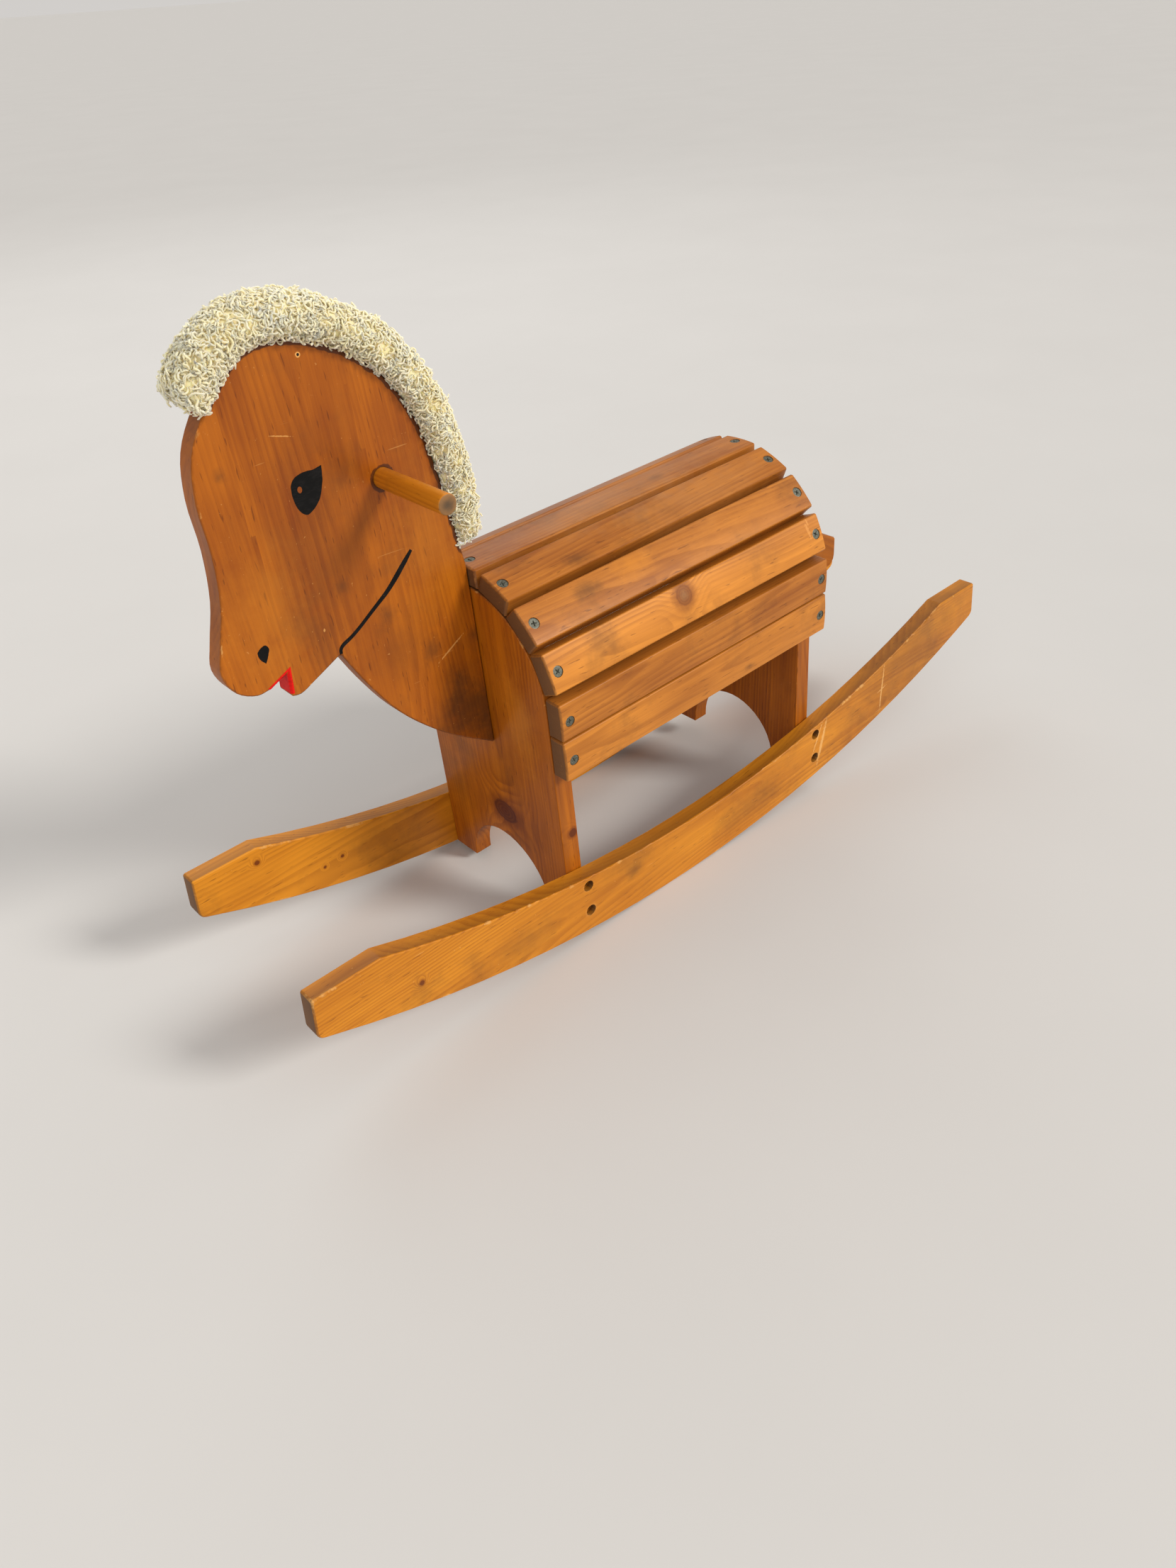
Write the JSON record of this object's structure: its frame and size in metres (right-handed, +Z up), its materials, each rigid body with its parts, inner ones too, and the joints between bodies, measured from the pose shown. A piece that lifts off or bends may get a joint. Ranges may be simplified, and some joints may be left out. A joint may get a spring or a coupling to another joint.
{
  "type": "rocking horse",
  "caption": "Child's wooden rocking horse: slatted barrel body on two arched leg boards, flat board head with a fleece mane and a dowel handle, short board tail and bow rockers.",
  "frame": {"origin": "on the floor, under the centre of the horse's box, the horse standing as it rests by itself", "axes": "+X towards the tail, +Y towards the horse's right side, +Z up; the horse faces -X"},
  "size_m": [0.8962, 0.223, 0.5962],
  "materials": {
    "varnished_pine": "satin",
    "slat_pine": "satin",
    "dowel": "satin",
    "cream_fleece": "matte",
    "zinc_screw": "satin",
    "black_paint": "satin",
    "red_paint": "satin"
  },
  "bodies": {
    "root": {"handle_dowel": "dowel", "head_board": "varnished_pine", "leg_board_front": "varnished_pine", "leg_board_rear": "varnished_pine", "mane": "cream_fleece", "neck_screw_lower": "zinc_screw", "neck_screw_middle": "zinc_screw", "neck_screw_upper": "zinc_screw", "rocker_left": "varnished_pine", "rocker_right": "varnished_pine", "rocker_screw_front_left_lower": "zinc_screw", "rocker_screw_front_left_upper": "zinc_screw", "rocker_screw_front_right_lower": "zinc_screw", "rocker_screw_front_right_upper": "zinc_screw", "rocker_screw_rear_left_lower": "zinc_screw", "rocker_screw_rear_left_upper": "zinc_screw", "rocker_screw_rear_right_lower": "zinc_screw", "rocker_screw_rear_right_upper": "zinc_screw", "slat_left_1": "slat_pine", "slat_left_1_screw_front": "zinc_screw", "slat_left_1_screw_rear": "zinc_screw", "slat_left_2": "slat_pine", "slat_left_2_screw_front": "zinc_screw", "slat_left_2_screw_rear": "zinc_screw", "slat_left_3": "slat_pine", "slat_left_3_screw_front": "zinc_screw", "slat_left_3_screw_rear": "zinc_screw", "slat_left_4": "slat_pine", "slat_left_4_screw_front": "zinc_screw", "slat_left_4_screw_rear": "zinc_screw", "slat_left_5": "slat_pine", "slat_left_5_screw_front": "zinc_screw", "slat_left_5_screw_rear": "zinc_screw", "slat_right_1": "slat_pine", "slat_right_1_screw_front": "zinc_screw", "slat_right_1_screw_rear": "zinc_screw", "slat_right_2": "slat_pine", "slat_right_2_screw_front": "zinc_screw", "slat_right_2_screw_rear": "zinc_screw", "slat_right_3": "slat_pine", "slat_right_3_screw_front": "zinc_screw", "slat_right_3_screw_rear": "zinc_screw", "slat_right_4": "slat_pine", "slat_right_4_screw_front": "zinc_screw", "slat_right_4_screw_rear": "zinc_screw", "slat_right_5": "slat_pine", "slat_right_5_screw_front": "zinc_screw", "slat_right_5_screw_rear": "zinc_screw", "slat_top": "slat_pine", "slat_top_screw_front": "zinc_screw", "slat_top_screw_rear": "zinc_screw", "tail_board": "varnished_pine", "tail_screw_lower": "zinc_screw", "tail_screw_upper": "zinc_screw"}
  },
  "joints": []
}
